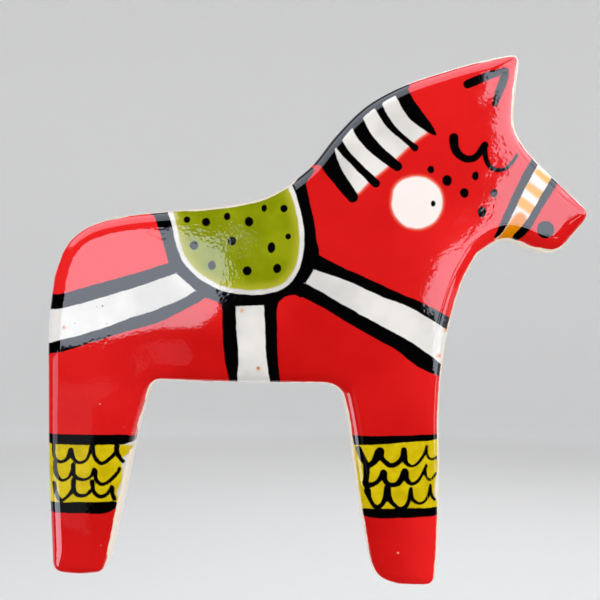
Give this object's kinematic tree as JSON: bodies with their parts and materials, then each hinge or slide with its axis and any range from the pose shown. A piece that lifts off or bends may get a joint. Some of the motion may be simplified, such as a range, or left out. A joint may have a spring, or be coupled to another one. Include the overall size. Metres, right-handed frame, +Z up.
{
  "type": "horse brooch",
  "caption": "Flat glazed ceramic brooch in the outline of a dala horse, with a hinged bar pin and a rotating safety catch glued to its back.",
  "frame": {"origin": "the middle of the closed pin stem's axis, where cloth holds the brooch", "axes": "+X towards the horse's nose, +Z up as worn, -Y out of the painted face, +Y towards the wearer"},
  "size_m": [0.0546, 0.0104, 0.0537],
  "materials": {
    "glazed_ceramic": "hand-painted under a clear gloss glaze, red with black, white, green and yellow; bare white wall and back",
    "epoxy_glue": "cured clear-amber epoxy",
    "nickel_plate": "nickel-plated steel, slightly worn",
    "stem_wire": "drawn and polished steel wire"
  },
  "bodies": {
    "brooch": {"ceramic_horse": "glazed_ceramic", "glue_bed": "epoxy_glue", "back_bar": "nickel_plate", "hinge_bracket": "nickel_plate", "bracket_rivet": "nickel_plate", "hinge_pin": "nickel_plate", "catch_housing": "nickel_plate"},
    "stem": {"pin_stem": "stem_wire"},
    "rotor": {"catch_rotor": "nickel_plate"}
  },
  "joints": [
    {"name": "pin_hinge", "type": "hinge", "parent": "brooch", "child": "stem", "pos_m": [-0.013, 0, 0], "axis": [0, 0, 1], "range_deg": [0, 85]},
    {"name": "catch_lock", "type": "hinge", "parent": "brooch", "child": "rotor", "pos_m": [0.0126, 0, 0], "axis": [-1, 0, 0], "range_deg": [0, 130]}
  ]
}
